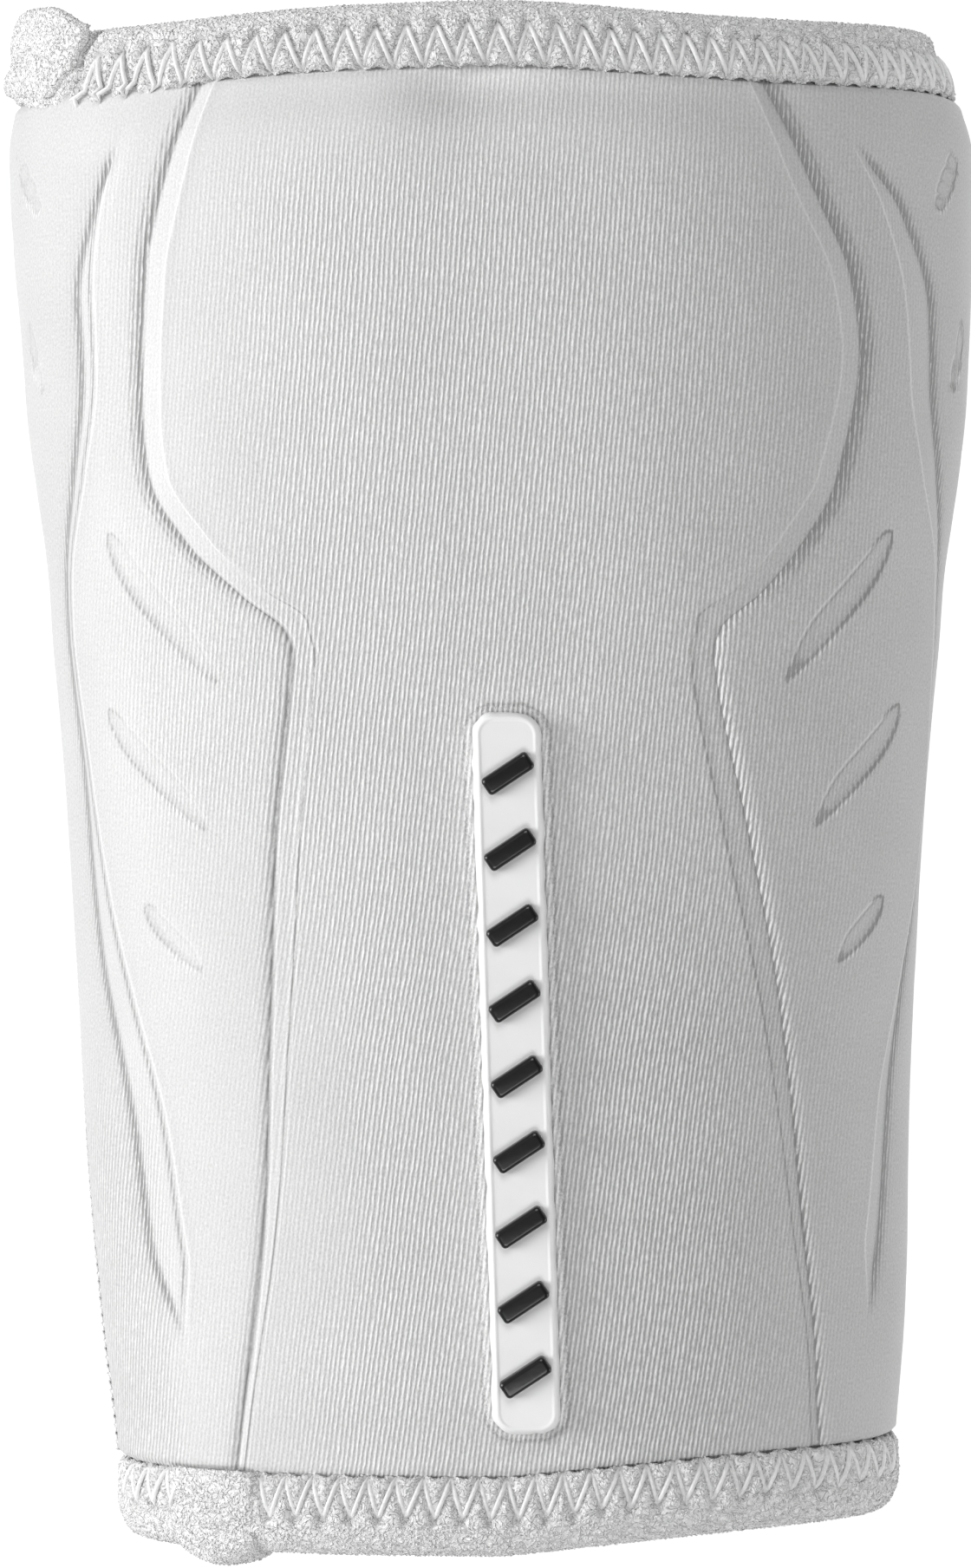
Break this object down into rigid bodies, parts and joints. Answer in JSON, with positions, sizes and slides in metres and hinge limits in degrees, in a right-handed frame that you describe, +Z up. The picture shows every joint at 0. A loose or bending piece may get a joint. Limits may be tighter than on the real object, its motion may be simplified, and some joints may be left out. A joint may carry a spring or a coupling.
{
  "type": "padded wrist guard sleeve",
  "caption": "Tapered white padded wrist guard: a knit-faced neoprene sleeve with moulded front pads, taped ends, a side seam and a slim rubber badge with raised bars.",
  "frame": {"origin": "on the surface that the guard lies on, under the middle of its length and width, on the flat back of the sleeve", "axes": "+X across the guard to its right as seen from the padded front with the forearm end up, +Y along the arm towards the forearm end, +Z up out of the padded front"},
  "size_m": [0.1, 0.1564, 0.0454],
  "materials": {
    "sleeve_fabric": "fine knit face with upright ribs, satin white",
    "binding_tape": "looped terry tape, matte white",
    "seam_thread": "flat cover of white polyester thread",
    "badge_white": "smooth soft white rubber",
    "badge_black": "satin black rubber, rounded edges"
  },
  "bodies": {
    "root": {"sleeve": "sleeve_fabric", "wrist_binding": "binding_tape", "forearm_binding": "binding_tape", "wrist_tape_end": "binding_tape", "forearm_tape_end": "binding_tape", "side_seam": "seam_thread", "badge_plate": "badge_white", "badge_bar_1": "badge_black", "badge_bar_2": "badge_black", "badge_bar_3": "badge_black", "badge_bar_4": "badge_black", "badge_bar_5": "badge_black", "badge_bar_6": "badge_black", "badge_bar_7": "badge_black", "badge_bar_8": "badge_black", "badge_bar_9": "badge_black"}
  },
  "joints": []
}
